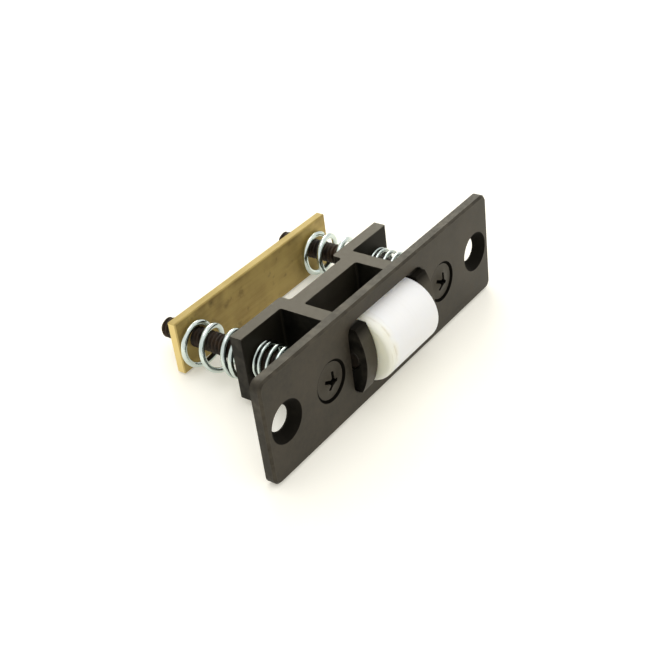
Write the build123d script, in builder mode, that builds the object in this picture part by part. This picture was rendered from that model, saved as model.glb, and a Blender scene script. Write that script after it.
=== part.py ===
from build123d import *
from math import cos, pi, radians, sin, tan
import os

# Full-mortise adjustable roller latch. Millimetres, +Z up, X along the faceplate.
# The origin is the middle of the faceplate's back face, the face that seats on the door.
# The front face, the roller and the screw heads look towards -Y; the works lie towards +Y.

# Faceplate
plate_length = 85.7
plate_width = 25.4
plate_thickness = 2.5
plate_corner_radius = 2.0
plate_edge_break = 0.5
fixing_end_distance = 6.25
fixing_hole_diameter = 5.8
fixing_sink_diameter = 9.6
sink_angle = 82
slot_corner_radius = 1.2

# Adjusting screws, number 10 size
screw_spacing = 43.2
screw_diameter = 4.83
screw_length = 46.5
screw_head_diameter = 8.8
screw_dome_height = 1.2
screw_tip_chamfer = 0.5
head_gap = 0.4
screw_seat_clearance = 0.05
screw_hole_clearance = 0.25
thread_clearance = 0.03
recess_width = 4.7
recess_arm_thickness = 1.1
recess_core_diameter = 2.0
recess_depth = 2.4
recess_taper = 9
left_recess_turn = 20
right_recess_turn = 27

# Forked housing, one profile drawn along its height
housing_height = 15.9
wing_end_distance = 5.35
wing_front = 16.0
wing_thickness = 3.0
fork_inner_width = 19.4
arm_thickness = 3.75
centre_wall_front = 12.4
centre_wall_back = 16.2
recess_corner_radius = 0.8
pocket_corner_radius = 0.6
arm_tip_reach = 3.3
arm_tip_radius = 16.3
slot_clearance = 1.05

# Roller and its axle
roller_diameter = 16.0
roller_side_gap = 0.2
roller_edge_round = 1.0
roller_projection = 7.0
axle_diameter = 4.76
axle_fit_clearance = 0.03
axle_bore_clearance = 0.06
axle_inset = 0.15
axle_end_chamfer = 0.35

# Brass back plate
back_plate_end_distance = 5.95
back_plate_height = 13.2
back_plate_thickness = 2.3
back_plate_front = 34.6
back_plate_edge_break = 0.25

# Springs, each start being the angle at which the wire leaves its first seat
spring_seat_gap = 0.1
back_spring_diameter = 11.0
back_spring_wire = 1.35
back_spring_turns = 4.4
back_spring_closed_turns = (1.9, 0.6)
left_back_spring_start = 162
right_back_spring_start = 189
front_spring_diameter = 9.2
front_spring_wire = 0.95
front_spring_turns = 8
front_spring_closed_turns = (1.0, 1.0)
front_spring_start = 40
closed_coil_gap = 0.05
wire_sides = 6
lengths_per_turn = 16

# How far each spring's two ends lie off their screw in X and Z, by the play between them
left_back_offsets = ((0.5, -1.2), (-1.35, -0.6))
right_back_offsets = ((0, -0.4), (-0.1, -1.1))
front_offsets = ((0.2, -0.4), (0.2, -0.4))

# Drawing aids
cut_margin = 1.0
corner_tolerance = 0.01

# Places worked out from the sizes above
front_face = -plate_thickness
fixing_x = plate_length / 2 - fixing_end_distance
screw_x = screw_spacing / 2
wing_end_x = screw_x + wing_end_distance
back_plate_length = screw_spacing + 2 * back_plate_end_distance
arm_inner_x = fork_inner_width / 2
arm_outer_x = arm_inner_x + arm_thickness
wing_back = wing_front + wing_thickness
slot_length = 2 * (arm_outer_x + slot_clearance)
slot_height = housing_height + 2 * slot_clearance
roller_y = front_face - roller_projection + roller_diameter / 2
roller_length = fork_inner_width - 2 * roller_side_gap
arm_tip_y = front_face - arm_tip_reach
sink_slope = tan(radians(sink_angle / 2))
screw_hole_diameter = screw_diameter + 2 * screw_hole_clearance
screw_sink_diameter = screw_head_diameter + 2 * head_gap
back_plate_back = back_plate_front + back_plate_thickness
axle_length = 2 * (arm_outer_x - axle_inset)
screw_tip_y = front_face + screw_length


def front_plane(y):
    """A sketch plane square to Y, drawn as seen from the front, whose normal points to the front."""
    return Plane(origin=(0, y, 0), x_dir=(1, 0, 0), z_dir=(0, -1, 0))


# Faceplate
with BuildPart() as faceplate:
    with BuildSketch(front_plane(0)) as plate_outline:
        RectangleRounded(plate_length, plate_width, plate_corner_radius)
        RectangleRounded(slot_length, slot_height, slot_corner_radius, mode=Mode.SUBTRACT)
    extrude(amount=plate_thickness)
    front_rim = faceplate.faces().sort_by(Axis.Y)[0].outer_wire().edges()
    chamfer(front_rim, plate_edge_break)
    with Locations(front_plane(front_face)):
        with Locations((-fixing_x, 0), (fixing_x, 0)):
            CounterSinkHole(
                fixing_hole_diameter / 2, fixing_sink_diameter / 2, counter_sink_angle=sink_angle
            )
        with Locations((-screw_x, 0), (screw_x, 0)):
            CounterSinkHole(
                screw_hole_diameter / 2, screw_sink_diameter / 2, counter_sink_angle=sink_angle
            )
faceplate.part.label = "faceplate"

def mirrored_corners(sketch, x, y):
    """The two corners of a sketch at x and at minus x."""
    return [
        corner for corner in sketch.vertices()
        if abs(abs(corner.X) - x) < corner_tolerance and abs(corner.Y - y) < corner_tolerance
    ]


# Housing: half of the profile, mirrored, then the arms' ends cut to an arc
with BuildPart() as housing:
    with BuildSketch(Plane.XY.offset(-housing_height / 2)) as fork:
        with BuildLine() as half_profile:
            Polyline(
                (0, centre_wall_front),
                (arm_inner_x, centre_wall_front),
                (arm_inner_x, arm_tip_y),
                (arm_outer_x, arm_tip_y),
                (arm_outer_x, wing_front),
                (wing_end_x, wing_front),
                (wing_end_x, wing_back),
                (arm_inner_x, wing_back),
                (arm_inner_x, centre_wall_back),
                (0, centre_wall_back),
                (0, centre_wall_front),
            )
        make_face()
        mirror(about=Plane.YZ)
        fillet(mirrored_corners(fork, arm_inner_x, centre_wall_front), pocket_corner_radius)
        fillet(mirrored_corners(fork, arm_outer_x, wing_front), pocket_corner_radius)
        fillet(mirrored_corners(fork, arm_inner_x, wing_back), recess_corner_radius)
        fillet(mirrored_corners(fork, arm_inner_x, centre_wall_back), recess_corner_radius)
    extrude(amount=housing_height)
    arm_arc_y = arm_tip_y + arm_tip_radius
    with BuildSketch(Plane.YZ) as arm_ends:
        with Locations((arm_tip_y, 0)):
            Rectangle(2 * arm_tip_reach, housing_height + 2 * cut_margin)
        with Locations((arm_arc_y, 0)):
            Circle(arm_tip_radius, mode=Mode.SUBTRACT)
    extrude(amount=arm_outer_x + cut_margin, both=True, mode=Mode.SUBTRACT)
    with BuildSketch(Plane.YZ.offset(-arm_outer_x)) as axle_holes:
        with Locations((roller_y, 0)):
            Circle(axle_diameter / 2 + axle_fit_clearance)
    extrude(amount=2 * arm_outer_x, mode=Mode.SUBTRACT)
    with BuildSketch(front_plane(wing_back)) as wing_holes:
        with Locations((-screw_x, 0), (screw_x, 0)):
            Circle(screw_hole_diameter / 2)
    extrude(amount=wing_thickness, mode=Mode.SUBTRACT)
housing.part.label = "housing"

# Roller: a turned nylon barrel with rounded ends and a through bore
with BuildPart() as roller:
    with BuildSketch(Plane.YZ.offset(-roller_length / 2)) as roller_disc:
        with Locations((roller_y, 0)):
            Circle(roller_diameter / 2)
    extrude(amount=roller_length)
    fillet(roller.edges().filter_by(GeomType.CIRCLE), roller_edge_round)
    with BuildSketch(Plane.YZ.offset(-roller_length / 2)) as roller_bore:
        with Locations((roller_y, 0)):
            Circle(axle_diameter / 2 + axle_bore_clearance)
    extrude(amount=roller_length, mode=Mode.SUBTRACT)
roller.part.label = "roller"

# Axle pin through both arms
with BuildPart() as axle:
    with BuildSketch(Plane.YZ.offset(-axle_length / 2)) as axle_disc:
        with Locations((roller_y, 0)):
            Circle(axle_diameter / 2)
    extrude(amount=axle_length)
    chamfer(axle.edges().filter_by(GeomType.CIRCLE), axle_end_chamfer)
axle.part.label = "axle"

# Brass back plate, tapped for both screws
with BuildPart() as back_plate:
    with BuildSketch(front_plane(back_plate_back)) as bar:
        Rectangle(back_plate_length, back_plate_height)
    extrude(amount=back_plate_thickness)
    chamfer(back_plate.edges(), back_plate_edge_break)
    with BuildSketch(front_plane(back_plate_back)) as tapped_holes:
        with Locations((-screw_x, 0), (screw_x, 0)):
            Circle(screw_diameter / 2 + thread_clearance)
    extrude(amount=back_plate_thickness, mode=Mode.SUBTRACT)
back_plate.part.label = "back_plate"

# Oval-head screw: a turned profile with a tapered cross recess
head_radius = screw_head_diameter / 2
shank_radius = screw_diameter / 2
seat_drop = head_gap / sink_slope
head_rim_y = front_face + seat_drop - screw_seat_clearance
cone_depth = (head_radius - shank_radius) / sink_slope
dome_top_y = head_rim_y - screw_dome_height
dome_radius = (head_radius ** 2 + screw_dome_height ** 2) / (2 * screw_dome_height)


def turned_screw(x, recess_turn):
    """One screw on the line at x, its cross recess turned clockwise by recess_turn degrees."""
    with BuildPart() as screw:
        with BuildSketch(Plane(origin=(x, 0, 0), x_dir=(1, 0, 0), z_dir=(0, 0, 1))) as section:
            with BuildLine():
                top = (0, dome_top_y)
                rim = (head_radius, head_rim_y)
                RadiusArc(rim, top, -dome_radius)
                Polyline(
                    rim,
                    (shank_radius, head_rim_y + cone_depth),
                    (shank_radius, screw_tip_y - screw_tip_chamfer),
                    (shank_radius - screw_tip_chamfer, screw_tip_y),
                    (0, screw_tip_y),
                    top,
                )
            make_face()
        revolve(axis=Axis((x, 0, 0), (0, 1, 0)))
        with BuildSketch(front_plane(dome_top_y)) as cross:
            with Locations(Location((x, 0), -recess_turn)):
                Rectangle(recess_width, recess_arm_thickness)
                Rectangle(recess_arm_thickness, recess_width)
                Circle(recess_core_diameter / 2)
        extrude(amount=-recess_depth, taper=recess_taper, mode=Mode.SUBTRACT)
    return screw


left_screw = turned_screw(-screw_x, left_recess_turn)
left_screw.part.label = "left_screw"
right_screw = turned_screw(screw_x, right_recess_turn)
right_screw.part.label = "right_screw"


def coil_spring(x, offsets, y_start, y_end, diameter, wire, turns, closed_turns, start_angle):
    """A right-hand compression spring round the screw at x, its seats off the screw by the offsets."""
    (start_x, start_z), (end_x, end_z) = offsets
    start_closed, end_closed = closed_turns
    coil_radius = (diameter - wire) / 2
    first_y = y_start + spring_seat_gap + wire / 2
    last_y = y_end - spring_seat_gap - wire / 2
    closed_pitch = wire + closed_coil_gap
    closed_length = closed_pitch * (start_closed + end_closed)
    open_pitch = (last_y - first_y - closed_length) / (turns - start_closed - end_closed)
    count = round(turns * lengths_per_turn)
    path_points = []
    for step in range(count + 1):
        turn = turns * step / count
        start_part = min(turn, start_closed)
        end_part = max(0, turn - (turns - end_closed))
        open_part = turn - start_part - end_part
        y = first_y + closed_pitch * (start_part + end_part) + open_pitch * open_part
        angle = radians(start_angle) - 2 * pi * turn
        share = (y - first_y) / (last_y - first_y)
        centre_x = x + start_x + (end_x - start_x) * share
        centre_z = start_z + (end_z - start_z) * share
        path_points.append((centre_x + coil_radius * cos(angle), y, centre_z + coil_radius * sin(angle)))
    with BuildPart() as spring:
        with BuildLine() as coil_line:
            bent_wire = Polyline(*path_points)
        with BuildSketch(Plane(origin=bent_wire @ 0, z_dir=bent_wire % 0)):
            RegularPolygon(wire / 2, wire_sides)
        sweep(path=coil_line.wires()[0], transition=Transition.RIGHT)
    return spring


left_front_spring = coil_spring(
    -screw_x, front_offsets, 0, wing_front,
    front_spring_diameter, front_spring_wire, front_spring_turns,
    front_spring_closed_turns, front_spring_start
)
left_front_spring.part.label = "left_front_spring"
right_front_spring = coil_spring(
    screw_x, front_offsets, 0, wing_front,
    front_spring_diameter, front_spring_wire, front_spring_turns,
    front_spring_closed_turns, front_spring_start
)
right_front_spring.part.label = "right_front_spring"
left_back_spring = coil_spring(
    -screw_x, left_back_offsets, wing_back, back_plate_front,
    back_spring_diameter, back_spring_wire, back_spring_turns,
    back_spring_closed_turns, left_back_spring_start
)
left_back_spring.part.label = "left_back_spring"
right_back_spring = coil_spring(
    screw_x, right_back_offsets, wing_back, back_plate_front,
    back_spring_diameter, back_spring_wire, back_spring_turns,
    back_spring_closed_turns, right_back_spring_start
)
right_back_spring.part.label = "right_back_spring"

os.makedirs("parts", exist_ok=True)
export_step(faceplate.part, "parts/faceplate.step")
export_step(housing.part, "parts/housing.step")
export_step(roller.part, "parts/roller.step")
export_step(axle.part, "parts/axle.step")
export_step(back_plate.part, "parts/back_plate.step")
export_step(left_screw.part, "parts/left_screw.step")
export_step(right_screw.part, "parts/right_screw.step")
export_step(left_front_spring.part, "parts/left_front_spring.step")
export_step(right_front_spring.part, "parts/right_front_spring.step")
export_step(left_back_spring.part, "parts/left_back_spring.step")
export_step(right_back_spring.part, "parts/right_back_spring.step")
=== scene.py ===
import math
from typing import NamedTuple

import bmesh
import bpy
from mathutils import Matrix, Vector


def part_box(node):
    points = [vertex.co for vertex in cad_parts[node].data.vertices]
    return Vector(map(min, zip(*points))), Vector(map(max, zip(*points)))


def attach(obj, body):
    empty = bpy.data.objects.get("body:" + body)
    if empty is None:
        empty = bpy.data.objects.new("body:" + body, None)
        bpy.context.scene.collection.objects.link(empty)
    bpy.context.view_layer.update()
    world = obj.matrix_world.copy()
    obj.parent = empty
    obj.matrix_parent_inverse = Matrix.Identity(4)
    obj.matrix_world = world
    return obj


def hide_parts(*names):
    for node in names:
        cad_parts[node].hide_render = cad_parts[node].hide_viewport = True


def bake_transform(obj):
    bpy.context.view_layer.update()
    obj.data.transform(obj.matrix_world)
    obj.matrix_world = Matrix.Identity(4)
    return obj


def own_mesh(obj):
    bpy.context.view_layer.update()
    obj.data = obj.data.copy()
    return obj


# The looks of the roller latch, in metres and in the row frame: X along the faceplate, Y into the door, Z up

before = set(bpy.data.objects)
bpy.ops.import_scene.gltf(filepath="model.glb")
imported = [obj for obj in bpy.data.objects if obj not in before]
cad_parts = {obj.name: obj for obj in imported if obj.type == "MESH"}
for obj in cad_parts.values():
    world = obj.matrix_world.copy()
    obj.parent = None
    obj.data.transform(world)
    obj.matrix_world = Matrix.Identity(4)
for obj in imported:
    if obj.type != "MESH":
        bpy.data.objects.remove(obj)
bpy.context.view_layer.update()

MM = 0.001


def middle_x(node):
    """The middle of a node's box along X."""
    low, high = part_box(node)
    return (low.x + high.x) / 2


class Spring(NamedTuple):
    """A coil spring: sizes, turns, how many of them are closed at each end, and the sides of its wire."""
    diameter: float
    wire: float
    turns: float
    start_closed: float
    end_closed: float
    wire_sides: int


# Camera, from the fit to the photograph's 660 by 660 frame
PHOTO_WIDTH = 660
CAMERA_FOCAL_PIXELS = 1165.58
CAMERA_AZIMUTH = -49.60
CAMERA_ELEVATION = 33.11
CAMERA_ROLL = -7.90
CAMERA_DISTANCE = 262.04 * MM
CAMERA_TARGET = Vector((-2.24, 12.5, -3.42)) * MM
CAMERA_CLIP_START = 10 * MM
SENSOR_WIDTH = 36.0

# Places read from the frame
SPRING_SEAT_GAP = 0.1 * MM
PLATE_LOW, PLATE_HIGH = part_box("faceplate")
BACK_LOW, BACK_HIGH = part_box("back_plate")
HOUSING_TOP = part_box("housing")[1].z
ROLLER_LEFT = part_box("roller")[0].x
LEFT_SCREW_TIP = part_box("left_screw")[1].y
RIGHT_SCREW_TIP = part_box("right_screw")[1].y
SCREW_X = middle_x("right_screw")
FRONT_FACE = PLATE_LOW.y
BACK_FACE = PLATE_HIGH.y
WING_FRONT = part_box("left_front_spring")[1].y + SPRING_SEAT_GAP
WING_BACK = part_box("left_back_spring")[0].y - SPRING_SEAT_GAP

# Screws: No. 10 with 24 threads to the inch. The thread starts under the head.
SCREW_RADIUS = 2.415 * MM
SCREW_PITCH = 25.4 * MM / 24
THREAD_START = 0.1 * MM
THREAD_DEPTH = 0.62 * MM
THREAD_STEEPNESS = 1.35
THREAD_CREST = 0.12
THREAD_SIDES = 40
THREAD_RINGS_PER_TURN = 12
TIP_CHAMFER = 0.6 * MM

# The heads' copies end at this Y, and are slimmer to show the dark ring round them
HEAD_END = 1.0 * MM
HEAD_SHRINK = 0.965

# Countersinks in the faceplate, darkened as painted shade: the screws' seats and the fixing holes
SEAT_RADIUS = 4.8 * MM
SINK_RADIUS = 4.75 * MM
SINK_END_DISTANCE = 6.25 * MM
SINK_X = PLATE_HIGH.x - SINK_END_DISTANCE
SINK_FADE = 0.12 * MM

# The faceplate's slot, with its corner in the solids and its rounder one in the photograph
SLOT_CLEARANCE = 1.05 * MM
ARM_OUTER_X = 13.45 * MM
SLOT_HALF_LENGTH = ARM_OUTER_X + SLOT_CLEARANCE
SLOT_HALF_HEIGHT = HOUSING_TOP + SLOT_CLEARANCE
SLOT_CORNER_RADIUS = 1.2 * MM
ROUNDED_CORNER_RADIUS = 2.9 * MM
CORNER_STEPS = 16
CORNER_OVERLAP = 0.04 * MM
CORNER_INSET = 0.01 * MM

# Springs
FRONT_SPRING = Spring(9.2 * MM, 0.95 * MM, turns=8.0, start_closed=1.0, end_closed=1.0, wire_sides=20)
BACK_SPRING = Spring(11.0 * MM, 1.35 * MM, turns=4.4, start_closed=1.9, end_closed=0.6, wire_sides=24)
CLOSED_COIL_GAP = 0.05 * MM
COIL_STEPS_PER_TURN = 96

# Stains on the brass: X, Z and size in mm, and depth
BRASS_STAINS = (
    (-15.6, 5.4, 1.5, 0.75),
    (-11.2, 2.2, 1.3, 0.6),
    (-13.4, 3.6, 2.6, 0.3),
    (-19.0, 3.0, 4.5, 0.3),
)

# Painted shade on the casting
TIP_SHADE = 0.85
TIP_SHADE_LOW = 5.2 * MM
TIP_SHADE_HIGH = 7.4 * MM
POCKET_SHADE = 0.6

# Light
FLOOR_SIZE = 4.0
FLOOR_COLOUR = (0.80, 0.785, 0.74, 1.0)
FLOOR_GLOW_COLOUR = (1.0, 0.97, 0.83, 1.0)
FLOOR_GLOW = 0.32
SKY_COLOUR = (1.0, 0.99, 0.97, 1.0)
SKY_AT_HORIZON = 0.7
SKY_OVERHEAD = 1.1
LAMP_TARGET = Vector((0, 0.01, 0))


# Shader helpers


def srgb(red, green, blue):
    """A colour in 0 to 255 as the eye reads it, as linear values with alpha."""
    values = []
    for value in (red, green, blue):
        share = value / 255
        values.append(share / 12.92 if share <= 0.04045 else ((share + 0.055) / 1.055) ** 2.4)
    return (*values, 1.0)


class Graph:
    """The nodes of a material or of the world, with a short name for each step used here."""

    def __init__(self, tree):
        self.nodes, self.links = tree.nodes, tree.links

    def feed(self, socket, value):
        """Sets the socket to a number or a colour, or links an output to it."""
        if isinstance(value, (int, float, tuple)):
            socket.default_value = value
        else:
            self.links.new(value, socket)

    def place(self):
        """Points on the object in the row frame, in metres."""
        return self.nodes.new("ShaderNodeTexCoord").outputs["Object"]

    def along(self, place, axis):
        """One coordinate of the place."""
        split = self.nodes.new("ShaderNodeSeparateXYZ")
        self.links.new(place, split.inputs["Vector"])
        return split.outputs[axis]

    def stretched(self, place, scale):
        """The place scaled along each axis, for streaks."""
        mapping = self.nodes.new("ShaderNodeMapping")
        mapping.inputs["Scale"].default_value = scale
        self.links.new(place, mapping.inputs["Vector"])
        return mapping.outputs["Vector"]

    def noise(self, place, cells, detail=4.0):
        """Noise of so many cells to the metre."""
        texture = self.nodes.new("ShaderNodeTexNoise")
        texture.inputs["Scale"].default_value = cells
        texture.inputs["Detail"].default_value = detail
        texture.inputs["Roughness"].default_value = 0.55
        self.links.new(place, texture.inputs["Vector"])
        return texture.outputs["Fac"]

    def spread(self, value, low, high, to_low=0.0, to_high=1.0):
        """The value from low to high spread over to_low to to_high, held at both ends."""
        reach = self.nodes.new("ShaderNodeMapRange")
        reach.inputs["From Min"].default_value = low
        reach.inputs["From Max"].default_value = high
        reach.inputs["To Min"].default_value = to_low
        reach.inputs["To Max"].default_value = to_high
        self.links.new(value, reach.inputs["Value"])
        return reach.outputs["Result"]

    def maths(self, operation, *values):
        """One Math node; a number or an output for each input."""
        node = self.nodes.new("ShaderNodeMath")
        node.operation = operation
        for socket, value in zip(node.inputs, values):
            self.feed(socket, value)
        return node.outputs[0]

    def product(self, first, *others):
        """All values multiplied."""
        for other in others:
            first = self.maths("MULTIPLY", first, other)
        return first

    def largest(self, first, *others):
        """The largest of the values."""
        for other in others:
            first = self.maths("MAXIMUM", first, other)
        return first

    def gap(self, first, second):
        """How far two values are apart."""
        return self.maths("ABSOLUTE", self.maths("SUBTRACT", first, second))

    def distance(self, across, level):
        """The length of the step with the given parts along X and Z."""
        squares = [self.maths("MULTIPLY", value, value) for value in (across, level)]
        return self.maths("SQRT", self.maths("ADD", *squares))

    def mixed(self, share, first, second):
        """Colour first where share is 0 and second where it is 1."""
        node = self.nodes.new("ShaderNodeMix")
        node.data_type = "RGBA"
        for name, value in (("Factor", share), ("A", first), ("B", second)):
            self.feed(node.inputs[name], value)
        return node.outputs["Result"]

    def bumped(self, shader, height, strength, depth):
        """A bump of the given height on the shader."""
        bump = self.nodes.new("ShaderNodeBump")
        bump.inputs["Strength"].default_value = strength
        bump.inputs["Distance"].default_value = depth
        self.links.new(height, bump.inputs["Height"])
        self.links.new(bump.outputs["Normal"], shader.inputs["Normal"])

    def facing(self, axis, low, high):
        """A share from 0 to 1 as the face turns along the axis from low to high."""
        normal = self.nodes.new("ShaderNodeTexCoord").outputs["Normal"]
        turned = self.maths("ABSOLUTE", self.along(normal, axis))
        return self.spread(turned, low, high)

    def painted_hollow_shade(self, reach):
        """A painted shade: a share that is 0 on open faces and 1 deep in the piece's own hollows."""
        shade = self.nodes.new("ShaderNodeAmbientOcclusion")
        shade.samples = 4
        shade.only_local = True
        shade.inputs["Distance"].default_value = reach
        return self.spread(shade.outputs["AO"], 0.5, 0.96, 1.0, 0.0)

    def seen_directly(self):
        """1 for what the camera sees, also reflected or through glass, and 0 for light on other things."""
        path = self.nodes.new("ShaderNodeLightPath")
        rays = ("Is Camera Ray", "Is Glossy Ray", "Is Transmission Ray")
        return self.largest(*(path.outputs[ray] for ray in rays))


def new_material(name):
    """A material with its graph and its Principled shader."""
    material = bpy.data.materials.new(name)
    material.use_nodes = True
    return material, Graph(material.node_tree), material.node_tree.nodes["Principled BSDF"]


# Materials


def sunk_disc(graph, place, middle, radius, depth):
    """A painted shade: a share that is depth in the countersinks at X of plus and minus middle, and 0 on the
    faces.
    """
    across = graph.maths("SUBTRACT", graph.maths("ABSOLUTE", graph.along(place, "X")), middle)
    reach = graph.distance(across, graph.along(place, "Z"))
    sunk = graph.spread(reach, radius, radius + SINK_FADE, depth, 0.0)
    before_back = graph.spread(
        graph.along(place, "Y"), BACK_FACE - 0.3 * MM, BACK_FACE - 0.1 * MM, 1.0, 0.0,
    )
    return graph.product(sunk, before_back)


def tip_shade(graph, place):
    """A painted shade: a share that rises to the top of the fork's arms where they stand out of the
    faceplate's slot.
    """
    high = graph.spread(graph.along(place, "Z"), TIP_SHADE_LOW, TIP_SHADE_HIGH, 0.0, TIP_SHADE)
    ahead = graph.spread(
        graph.along(place, "Y"), FRONT_FACE + 0.3 * MM, FRONT_FACE + 0.9 * MM, 1.0, 0.0,
    )
    return graph.product(high, ahead)


def pocket_shade(graph, place):
    """A painted shade on the casting's walls from faceplate to wings, which is 0 on its top and bottom."""
    depth = graph.along(place, "Y")
    inside = graph.spread(depth, BACK_FACE, BACK_FACE + 1.0 * MM, 0.0, POCKET_SHADE)
    before_wings = graph.spread(depth, WING_FRONT + 0.1 * MM, WING_FRONT + 0.4 * MM, 1.0, 0.0)
    level = graph.maths("ABSOLUTE", graph.along(place, "Z"))
    within = graph.spread(level, HOUSING_TOP - 0.3 * MM, HOUSING_TOP - 0.1 * MM, 1.0, 0.0)
    return graph.product(inside, before_wings, within)


def blot(graph, place, x, z, size):
    """A ragged spot round the place x, z: a share that is up to 1 in its middle and 0 past its size."""
    across = graph.maths("SUBTRACT", graph.along(place, "X"), x)
    level = graph.maths("SUBTRACT", graph.along(place, "Z"), z)
    ragged = graph.product(graph.noise(place, 900), size)
    reach = graph.maths("ADD", graph.distance(across, level), ragged)
    return graph.spread(reach, 0.45 * size, 1.3 * size, 1.0, 0.0)


class ShadedSides(NamedTuple):
    """Faces turned another way, darkened as painted shade: the range of their normal along an axis, their
    colour and dullness.
    """
    axis: str
    low: float
    high: float
    colour: tuple
    dull: float


def bronze_material(name, dark, warm, rubbed, hollow_shade_reach, sides=None, edges=(), discs=(), shades=()):
    """Dark bronze plating.

    It has painted shade: it is darker and less shiny on the given sides, in hollows, in the countersunk
    discs and where a shade says so. It is rubbed light along the edges, each given as planes: an axis, a
    level on it and how far the rubbing goes.
    """
    material, graph, shader = new_material(name)
    place = graph.place()
    broad = graph.spread(graph.noise(place, 95, detail=3.0), 0.36, 0.64)
    fine = graph.spread(graph.noise(place, 1000), 0.36, 0.68)
    colour = graph.mixed(broad, dark, warm)
    colour = graph.mixed(graph.product(fine, 0.15), colour, rubbed)
    dull = 0.0
    # Painted shade: the faces turned the given way take a darker colour and less shine
    if sides:
        turned = graph.facing(sides.axis, sides.low, sides.high)
        streaks = graph.spread(graph.noise(place, 330), 0.45, 0.7, 0.0, 0.32)
        colour = graph.mixed(turned, colour, graph.mixed(streaks, sides.colour, rubbed))
        dull = graph.product(turned, sides.dull)
    for edge in edges:
        near = [
            graph.spread(graph.gap(graph.along(place, axis), level), 0.0, width, 1.0, 0.0)
            for axis, level, width in edge
        ]
        patchy = graph.spread(graph.noise(place, 260), 0.35, 0.6)
        colour = graph.mixed(graph.product(*near, patchy, 0.6), colour, rubbed)
    # Painted shade from the hollows, the countersunk discs and the shades takes the colour to near black and
    # dulls it
    painted_shade = graph.painted_hollow_shade(hollow_shade_reach)
    for middle, radius, depth in discs:
        painted_shade = graph.largest(painted_shade, sunk_disc(graph, place, middle, radius, depth))
    for shade in shades:
        painted_shade = graph.largest(painted_shade, shade(graph, place))
    graph.feed(shader.inputs["Base Color"], graph.mixed(painted_shade, colour, srgb(8, 7, 5)))
    rough = graph.largest(graph.spread(fine, 0.0, 1.0, 0.42, 0.52), graph.product(painted_shade, 0.8))
    graph.feed(shader.inputs["Roughness"], rough)
    shine = graph.spread(graph.largest(painted_shade, dull), 0.0, 1.0, 0.3, 0.04)
    graph.feed(shader.inputs["Specular IOR Level"], shine)
    shader.inputs["Specular Tint"].default_value = (1.0, 0.94, 0.78, 1.0)
    graph.bumped(shader, fine, 0.12, 0.03 * MM)
    return material


def brass_material():
    """Plain brass bar, drawn along X, with tarnish and dull stains on its broad face and pale ends as a
    painted reflection.
    """
    material, graph, shader = new_material("plain brass")
    place = graph.place()
    streaks = graph.noise(graph.stretched(place, (60, 900, 900)), 1.0)
    clouds = graph.spread(graph.noise(place, 110, detail=5.0), 0.4, 0.62)
    stain = graph.spread(graph.noise(place, 420), 0.6, 0.72)
    colour = graph.mixed(clouds, srgb(186, 160, 90), srgb(164, 138, 76))
    colour = graph.mixed(graph.spread(streaks, 0.35, 0.65, 0.0, 0.35), colour, srgb(204, 180, 108))
    colour = graph.mixed(graph.product(stain, 0.4), colour, srgb(98, 80, 42))
    level = graph.along(place, "Z")
    tarnish = graph.spread(level, BACK_HIGH.z - 2.6 * MM, BACK_HIGH.z - 0.4 * MM, 0.0, 0.55)
    colour = graph.mixed(graph.product(tarnish, clouds), colour, srgb(134, 112, 58))
    for x, z, size, depth in BRASS_STAINS:
        spot = graph.product(blot(graph, place, x * MM, z * MM, size * MM), depth)
        colour = graph.mixed(spot, colour, srgb(84, 64, 30))
    # Darker olive on the faces turned up and down; on the ends, turned along X, a pale painted reflection
    colour = graph.mixed(graph.facing("Z", 0.6, 0.9), colour, srgb(150, 130, 64))
    colour = graph.mixed(graph.facing("X", 0.6, 0.9), colour, srgb(232, 208, 136))
    graph.feed(shader.inputs["Base Color"], colour)
    graph.feed(shader.inputs["Roughness"], graph.spread(clouds, 0.0, 1.0, 0.46, 0.54))
    shader.inputs["Metallic"].default_value = 0.35
    graph.bumped(shader, streaks, 0.15, 0.03 * MM)
    return material


def nylon_material():
    """White nylon, faintly scratched round its running face, creamy and a little soiled at its left end."""
    material, graph, shader = new_material("white nylon")
    place = graph.place()
    scratch = graph.noise(graph.stretched(place, (1500, 60, 60)), 1.0, detail=2.0)
    across = graph.along(place, "X")
    ragged = graph.product(graph.noise(place, 500), 1.6 * MM)
    end = graph.spread(
        graph.maths("SUBTRACT", across, ragged), ROLLER_LEFT - 0.6 * MM, ROLLER_LEFT + 2.6 * MM, 1.0, 0.0,
    )
    colour = graph.mixed(end, srgb(254, 255, 250), srgb(254, 249, 226))
    worn = graph.product(graph.spread(scratch, 0.6, 0.72), 0.05)
    colour = graph.mixed(worn, colour, srgb(200, 196, 180))
    soiled = graph.spread(across, ROLLER_LEFT + 1.0 * MM, ROLLER_LEFT + 3.6 * MM, 0.5, 0.0)
    patches = graph.spread(graph.noise(place, 300), 0.42, 0.6)
    soiled = graph.product(soiled, graph.spread(scratch, 0.52, 0.7), patches)
    colour = graph.mixed(soiled, colour, srgb(196, 180, 140))
    graph.feed(shader.inputs["Base Color"], colour)
    shader.inputs["Roughness"].default_value = 0.36
    shader.inputs["Specular IOR Level"].default_value = 0.4
    shader.inputs["Subsurface Weight"].default_value = 0.9
    shader.inputs["Subsurface Radius"].default_value = (1.0, 0.96, 0.88)
    shader.inputs["Subsurface Scale"].default_value = 4 * MM
    graph.bumped(shader, scratch, 0.04, 0.02 * MM)
    return material


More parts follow.
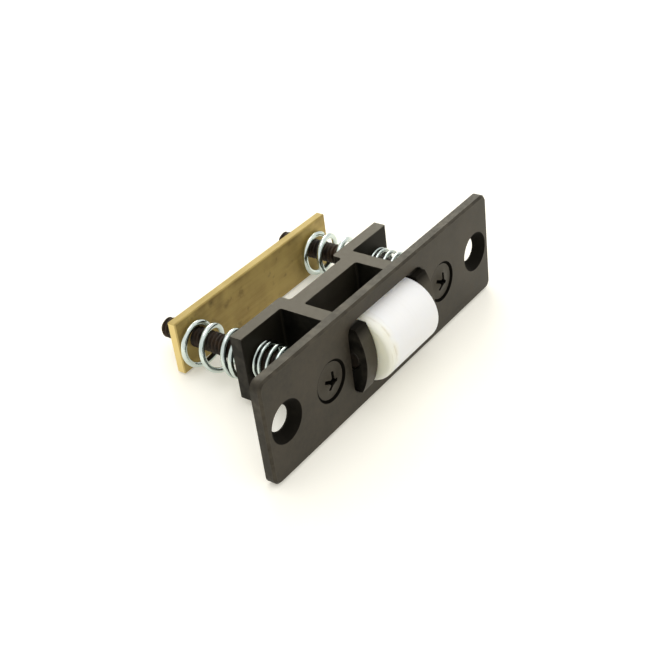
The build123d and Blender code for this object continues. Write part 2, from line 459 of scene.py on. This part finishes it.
def zinc_material():
    """Bright zinc on spring wire, with a faint green tint and painted shade between close turns."""
    material, graph, shader = new_material("zinc wire")
    tint = graph.spread(graph.noise(graph.place(), 160, detail=2.0), 0.4, 0.6)
    colour = graph.mixed(tint, srgb(218, 228, 224), srgb(198, 210, 206))
    # Painted shade between close turns
    colour = graph.mixed(graph.painted_hollow_shade(2 * MM), colour, srgb(40, 44, 42))
    graph.feed(shader.inputs["Base Color"], colour)
    graph.feed(shader.inputs["Roughness"], graph.spread(tint, 0.0, 1.0, 0.1, 0.15))
    shader.inputs["Metallic"].default_value = 1.0
    return material


def dark_steel(name, dark, light):
    """Dull brown steel, patchy from dark to light."""
    material, graph, shader = new_material(name)
    patch = graph.spread(graph.noise(graph.place(), 500), 0.35, 0.65)
    graph.feed(shader.inputs["Base Color"], graph.mixed(patch, dark, light))
    shader.inputs["Metallic"].default_value = 0.4
    shader.inputs["Roughness"].default_value = 0.42
    return material


def floor_material():
    """White paper. The camera sees a bright white where nothing shades it, and a warm cream shadow."""
    material = bpy.data.materials.new("paper")
    material.use_nodes = True
    graph = Graph(material.node_tree)
    graph.nodes.clear()
    output = graph.nodes.new("ShaderNodeOutputMaterial")
    diffuse = graph.nodes.new("ShaderNodeBsdfDiffuse")
    diffuse.inputs["Color"].default_value = FLOOR_COLOUR
    glow = graph.nodes.new("ShaderNodeEmission")
    glow.inputs["Color"].default_value = FLOOR_GLOW_COLOUR
    graph.feed(glow.inputs["Strength"], graph.product(graph.seen_directly(), FLOOR_GLOW))
    both = graph.nodes.new("ShaderNodeAddShader")
    graph.feed(both.inputs[0], diffuse.outputs[0])
    graph.feed(both.inputs[1], glow.outputs[0])
    graph.feed(output.inputs["Surface"], both.outputs[0])
    return material


# Meshes


def mesh_object(name, vertices, faces, material, slot_name, smooth=True):
    """A new object from points in the row frame."""
    mesh = bpy.data.meshes.new(name)
    mesh.from_pydata(vertices, [], faces)
    mesh.update()
    for polygon in mesh.polygons:
        polygon.use_smooth = smooth
    mesh.materials.append(material)
    made = bpy.data.objects.new(name, mesh)
    bpy.context.scene.collection.objects.link(made)
    return made


def ring_faces(rings, sides):
    """Faces of a round bar whose vertices lie ring after ring, with flat ends."""
    faces = []
    for ring in range(rings - 1):
        for side in range(sides):
            a, b = ring * sides + side, ring * sides + (side + 1) % sides
            faces.append((a, b, b + sides, a + sides))
    last = (rings - 1) * sides
    faces.append(tuple(range(sides))[::-1])
    faces.append(tuple(range(last, last + sides)))
    return faces


def tube(points, radius, sides):
    """Vertices and faces of a round wire along the points."""
    vertices = []
    for index, point in enumerate(points):
        before = points[max(index - 1, 0)]
        after = points[min(index + 1, len(points) - 1)]
        along = (after - before).normalized()
        out = along.cross(Vector((0, 1, 0))).normalized()
        other = along.cross(out)
        for side in range(sides):
            angle = 2 * math.pi * side / sides
            vertices.append(point + radius * (math.cos(angle) * out + math.sin(angle) * other))
    return vertices, ring_faces(len(points), sides)


def coil_points(spring, x, y_start, y_end, start_angle, offsets):
    """The middle line of a right-hand spring with closed ends; the offsets are its seats' X and Z in mm."""
    (start_x, start_z), (end_x, end_z) = offsets
    radius = (spring.diameter - spring.wire) / 2
    first = y_start + SPRING_SEAT_GAP + spring.wire / 2
    last = y_end - SPRING_SEAT_GAP - spring.wire / 2
    closed_turns = spring.start_closed + spring.end_closed
    closed_pitch = spring.wire + CLOSED_COIL_GAP
    open_pitch = (last - first - closed_pitch * closed_turns) / (spring.turns - closed_turns)
    count = round(spring.turns * COIL_STEPS_PER_TURN)
    points = []
    for step in range(count + 1):
        turn = spring.turns * step / count
        start_part = min(turn, spring.start_closed)
        end_part = max(0.0, turn - (spring.turns - spring.end_closed))
        open_part = turn - start_part - end_part
        y = first + closed_pitch * (start_part + end_part) + open_pitch * open_part
        share = (y - first) / (last - first)
        line_x = x + (start_x + (end_x - start_x) * share) * MM
        line_z = (start_z + (end_z - start_z) * share) * MM
        angle = math.radians(start_angle) - 2 * math.pi * turn
        points.append(Vector((line_x + radius * math.cos(angle), y, line_z + radius * math.sin(angle))))
    return points


def threaded_shank(x, y_start, y_end):
    """A screw's threaded shank: a right-hand thread about +Y with a chamfered tip."""
    steps = round((y_end - y_start) / (SCREW_PITCH / THREAD_RINGS_PER_TURN))
    vertices = []
    for ring in range(steps + 1):
        y = y_start + (y_end - y_start) * ring / steps
        limit = SCREW_RADIUS - max(0.0, TIP_CHAMFER - (y_end - y))
        for side in range(THREAD_SIDES):
            angle = 2 * math.pi * side / THREAD_SIDES
            phase = ((y - y_start) / SCREW_PITCH - side / THREAD_SIDES) % 1.0
            flank = THREAD_STEEPNESS * (1 - abs(2 * phase - 1)) - THREAD_CREST
            radius = min(SCREW_RADIUS - THREAD_DEPTH * min(1.0, max(0.0, flank)), limit)
            vertices.append((x + radius * math.sin(angle), y, radius * math.cos(angle)))
    return vertices, ring_faces(steps + 1, THREAD_SIDES)


def slot_corner(side_x, side_z):
    """A filler that rounds one corner of the faceplate's slot further, within the plate's thickness."""
    outline = []
    arcs = ((ROUNDED_CORNER_RADIUS, 0.0, 1), (SLOT_CORNER_RADIUS, CORNER_OVERLAP, -1))
    for radius, overlap, order in arcs:
        arc_x, arc_z = SLOT_HALF_LENGTH - radius, SLOT_HALF_HEIGHT - radius
        for step in range(CORNER_STEPS + 1)[::order]:
            angle = math.pi / 2 * step / CORNER_STEPS
            reach = radius + overlap
            outline.append((arc_x + reach * math.cos(angle), arc_z + reach * math.sin(angle)))
    levels = (FRONT_FACE + CORNER_INSET, BACK_FACE - CORNER_INSET)
    vertices = [(side_x * x, y, side_z * z) for y in levels for x, z in outline]
    count = len(outline)
    faces = [tuple(range(count)), tuple(range(count, 2 * count))[::-1]]
    for index in range(count):
        step = (index + 1) % count
        faces.append((index, index + count, step + count, step))
    if side_x * side_z > 0:
        faces = [face[::-1] for face in faces]
    return vertices, faces


def screw_head(node, material):
    """A slightly slimmer copy of a screw's head from the frame, without its plain shank."""
    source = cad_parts[node]
    made = bpy.data.objects.new(node + "_head", source.data.copy())
    bpy.context.scene.collection.objects.link(made)
    made.matrix_world = source.matrix_world.copy()
    work = bmesh.new()
    work.from_mesh(made.data)
    middle = middle_x(node)
    for vertex in work.verts:
        vertex.co.x = middle + (vertex.co.x - middle) * HEAD_SHRINK
        vertex.co.z = vertex.co.z * HEAD_SHRINK
    shank = [face for face in work.faces if any(vertex.co.y > HEAD_END for vertex in face.verts)]
    bmesh.ops.delete(work, geom=shank, context="FACES")
    work.to_mesh(made.data)
    work.free()
    made.data.materials.clear()
    made.data.materials.append(material)
    return made


# Materials on the pieces of the frame

# The faceplate has painted shade on its edges and ends, in its hollows and in its countersinks
plate_bronze = bronze_material(
    "plate bronze", srgb(37, 33, 26), srgb(51, 45, 36), srgb(100, 93, 80), hollow_shade_reach=8 * MM,
    sides=ShadedSides("Y", 0.9, 0.6, srgb(32, 29, 24), dull=0.12),
    edges=(
        (("Y", FRONT_FACE, 0.7 * MM), ("Z", PLATE_HIGH.z, 0.7 * MM)),
        (("Y", FRONT_FACE, 0.7 * MM), ("X", PLATE_LOW.x, 0.7 * MM)),
    ),
    discs=((SCREW_X, SEAT_RADIUS, 1.0), (SINK_X, SINK_RADIUS, 0.88)),
)
# The casting has painted shade: near black on faces turned along X, in its hollows, on the arms' tips and on
# the pocket walls
casting_bronze = bronze_material(
    "casting bronze", srgb(54, 50, 41), srgb(57, 52, 43), srgb(80, 75, 65), hollow_shade_reach=16 * MM,
    sides=ShadedSides("X", 0.6, 0.9, srgb(11, 10, 8), dull=0.45),
    shades=(tip_shade, pocket_shade),
)
# The screws' heads have painted shade in their own hollows
head_bronze = bronze_material(
    "screw bronze", srgb(46, 42, 34), srgb(50, 45, 37), srgb(88, 82, 70), hollow_shade_reach=4 * MM,
)
zinc = zinc_material()
thread_steel = dark_steel("thread steel", srgb(24, 19, 14), srgb(60, 44, 28))

dressing = {
    "faceplate": plate_bronze,
    "housing": casting_bronze,
    "roller": nylon_material(),
    # The pin's steel is a darker copy of the thread's steel, as painted shade on the pin in the slot
    "axle": dark_steel("shaded pin steel", srgb(14, 12, 9), srgb(40, 30, 18)),
    "back_plate": brass_material(),
}
for node, material in dressing.items():
    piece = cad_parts[node]
    piece.data.materials.clear()
    piece.data.materials.append(material)

# Rounder corners in the faceplate's slot
slot_corners = {"top_right": (1, 1), "top_left": (-1, 1), "low_left": (-1, -1), "low_right": (1, -1)}
for corner_name, corner_sides in slot_corners.items():
    corner = mesh_object(
        "slot_corner_" + corner_name, *slot_corner(*corner_sides), plate_bronze, "dark_bronze_plate",
        smooth=False,
    )
    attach(corner, "faceplate")

# Springs of round wire in place of the frame's plain ones
for node, x in (("left_front_spring", -SCREW_X), ("right_front_spring", SCREW_X)):
    line = coil_points(FRONT_SPRING, x, BACK_FACE, WING_FRONT, 40.0, ((0.2, -0.4), (0.2, -0.4)))
    wire = tube(line, FRONT_SPRING.wire / 2, FRONT_SPRING.wire_sides)
    coil = mesh_object(node + "_wire", *wire, zinc, "zinc_spring_wire")
    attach(coil, "faceplate")
    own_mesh(coil)
    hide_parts(node)

back_springs = (
    ("left_back_spring", -SCREW_X, 162.0, ((0.5, -1.2), (-1.35, -0.6))),
    ("right_back_spring", SCREW_X, 189.0, ((0.0, -0.4), (-0.1, -1.1))),
)
for node, x, start_angle, offsets in back_springs:
    line = coil_points(BACK_SPRING, x, WING_BACK, BACK_LOW.y, start_angle, offsets)
    wire = tube(line, BACK_SPRING.wire / 2, BACK_SPRING.wire_sides)
    coil = mesh_object(node + "_wire", *wire, zinc, "zinc_spring_wire")
    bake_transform(coil)
    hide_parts(node)

# Screws with a real thread
for node, x, tip in (("left_screw", -SCREW_X, LEFT_SCREW_TIP), ("right_screw", SCREW_X, RIGHT_SCREW_TIP)):
    head = screw_head(node, head_bronze)
    shank = mesh_object(
        node + "_thread", *threaded_shank(x, THREAD_START, tip), thread_steel, "dark_screw_steel"
    )
    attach(head, node)
    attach(shank, node)
    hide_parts(node)

# Floor: the latch rests on the faceplate's lower back edge and the back plate's lower back edge
rest_front = Vector((0, BACK_FACE, PLATE_LOW.z))
rest_back = Vector((0, BACK_HIGH.y, BACK_LOW.z))
floor_tilt = math.atan2(rest_back.z - rest_front.z, rest_back.y - rest_front.y)
bpy.ops.mesh.primitive_plane_add(size=FLOOR_SIZE)
floor = bpy.context.object
floor.name = "floor"
floor.matrix_world = Matrix.Translation(rest_front) @ Matrix.Rotation(floor_tilt, 4, "X")
floor.data.materials.append(floor_material())

# World, which lights the latch softly and is white where the camera sees it
world = bpy.data.worlds.new("studio")
bpy.context.scene.world = world
world.use_nodes = True
sky_graph = Graph(world.node_tree)
sky = sky_graph.nodes["Background"]
sky.inputs["Color"].default_value = SKY_COLOUR
direction = sky_graph.nodes.new("ShaderNodeTexCoord").outputs["Generated"]
sky_light = sky_graph.spread(sky_graph.along(direction, "Z"), 0.0, 1.0, SKY_AT_HORIZON, SKY_OVERHEAD)
sky_graph.feed(sky.inputs["Strength"], sky_graph.largest(sky_light, sky_graph.seen_directly()))


def area_lamp(name, place, size, power, colour):
    """A soft square lamp that looks at the latch."""
    light = bpy.data.lights.new(name, "AREA")
    light.size = size
    light.energy = power
    light.color = colour
    lamp = bpy.data.objects.new(name, light)
    bpy.context.scene.collection.objects.link(lamp)
    lamp.location = place
    lamp.rotation_mode = "QUATERNION"
    lamp.rotation_quaternion = (LAMP_TARGET - Vector(place)).to_track_quat("-Z", "Y")


area_lamp("key", (0.05, 0.15, 0.85), size=0.5, power=1.2, colour=(1.0, 0.99, 0.97))
area_lamp("back", (0.5, 0.42, 0.45), size=0.4, power=2.3, colour=(1.0, 0.96, 0.82))

# Camera at the photograph's place
azimuth, elevation, roll = (math.radians(a) for a in (CAMERA_AZIMUTH, CAMERA_ELEVATION, CAMERA_ROLL))
forward = -Vector((
    math.sin(azimuth) * math.cos(elevation), -math.cos(azimuth) * math.cos(elevation), math.sin(elevation),
))
level_right = forward.cross(Vector((0, 0, 1))).normalized()
level_up = level_right.cross(forward)
right = math.cos(roll) * level_right + math.sin(roll) * level_up
up = -math.sin(roll) * level_right + math.cos(roll) * level_up
lens = bpy.data.cameras.new("camera")
lens.sensor_width = SENSOR_WIDTH
lens.lens = SENSOR_WIDTH * CAMERA_FOCAL_PIXELS / PHOTO_WIDTH
lens.clip_start = CAMERA_CLIP_START
camera = bpy.data.objects.new("camera", lens)
bpy.context.scene.collection.objects.link(camera)
turn = Matrix((right, up, -forward)).transposed().to_4x4()
camera.matrix_world = Matrix.Translation(CAMERA_TARGET - forward * CAMERA_DISTANCE) @ turn
bpy.context.scene.camera = camera

bpy.context.scene.view_settings.view_transform = "Standard"
